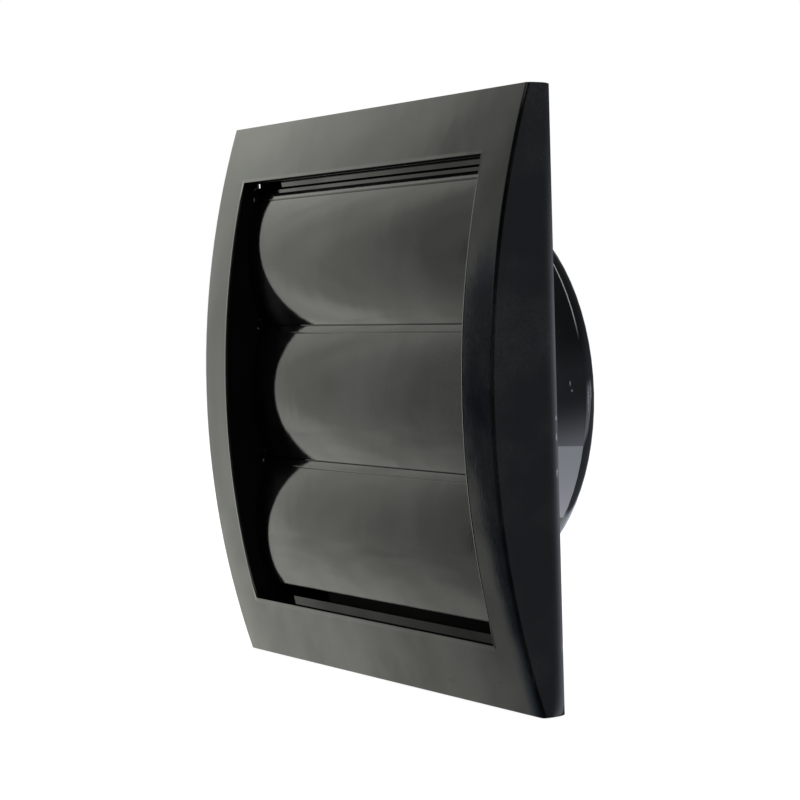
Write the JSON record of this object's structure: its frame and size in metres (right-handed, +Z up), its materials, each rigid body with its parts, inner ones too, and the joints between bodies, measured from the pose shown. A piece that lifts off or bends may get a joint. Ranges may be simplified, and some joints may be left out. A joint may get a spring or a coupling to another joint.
{
  "type": "exhaust vent hood",
  "caption": "Square wall outlet hood with a bulged black plastic frame, gravity flaps that swing open in the air stream, and a round duct spigot behind.",
  "frame": {"origin": "middle of the hood on the plane of the wall, which is also the axis of the round duct", "axes": "+Z up, -Y out of the wall towards the viewer, +Y into the wall along the duct, +X to the right seen from the front"},
  "size_m": [0.186, 0.0594, 0.186],
  "materials": {
    "frame_plastic": "moulded black plastic, satin gloss",
    "spigot_plastic": "moulded black plastic, satin gloss",
    "flap_plastic": "moulded black plastic, polished"
  },
  "bodies": {
    "housing": {"front_frame": "frame_plastic", "spigot_plate": "spigot_plastic"},
    "top_flap": {"flap_top": "flap_plastic"},
    "middle_flap": {"flap_middle": "flap_plastic"},
    "bottom_flap": {"flap_bottom": "flap_plastic"}
  },
  "joints": [
    {"name": "top_flap_hinge", "type": "hinge", "parent": "housing", "child": "top_flap", "pos_m": [0, -0.0082, 0.06945], "axis": [-1, 0, 0], "range_deg": [0, 60]},
    {"name": "middle_flap_hinge", "type": "hinge", "parent": "housing", "child": "middle_flap", "pos_m": [0, -0.0082, 0.02335], "axis": [-1, 0, 0], "range_deg": [0, 60]},
    {"name": "bottom_flap_hinge", "type": "hinge", "parent": "housing", "child": "bottom_flap", "pos_m": [0, -0.0082, -0.02275], "axis": [-1, 0, 0], "range_deg": [0, 60]}
  ]
}
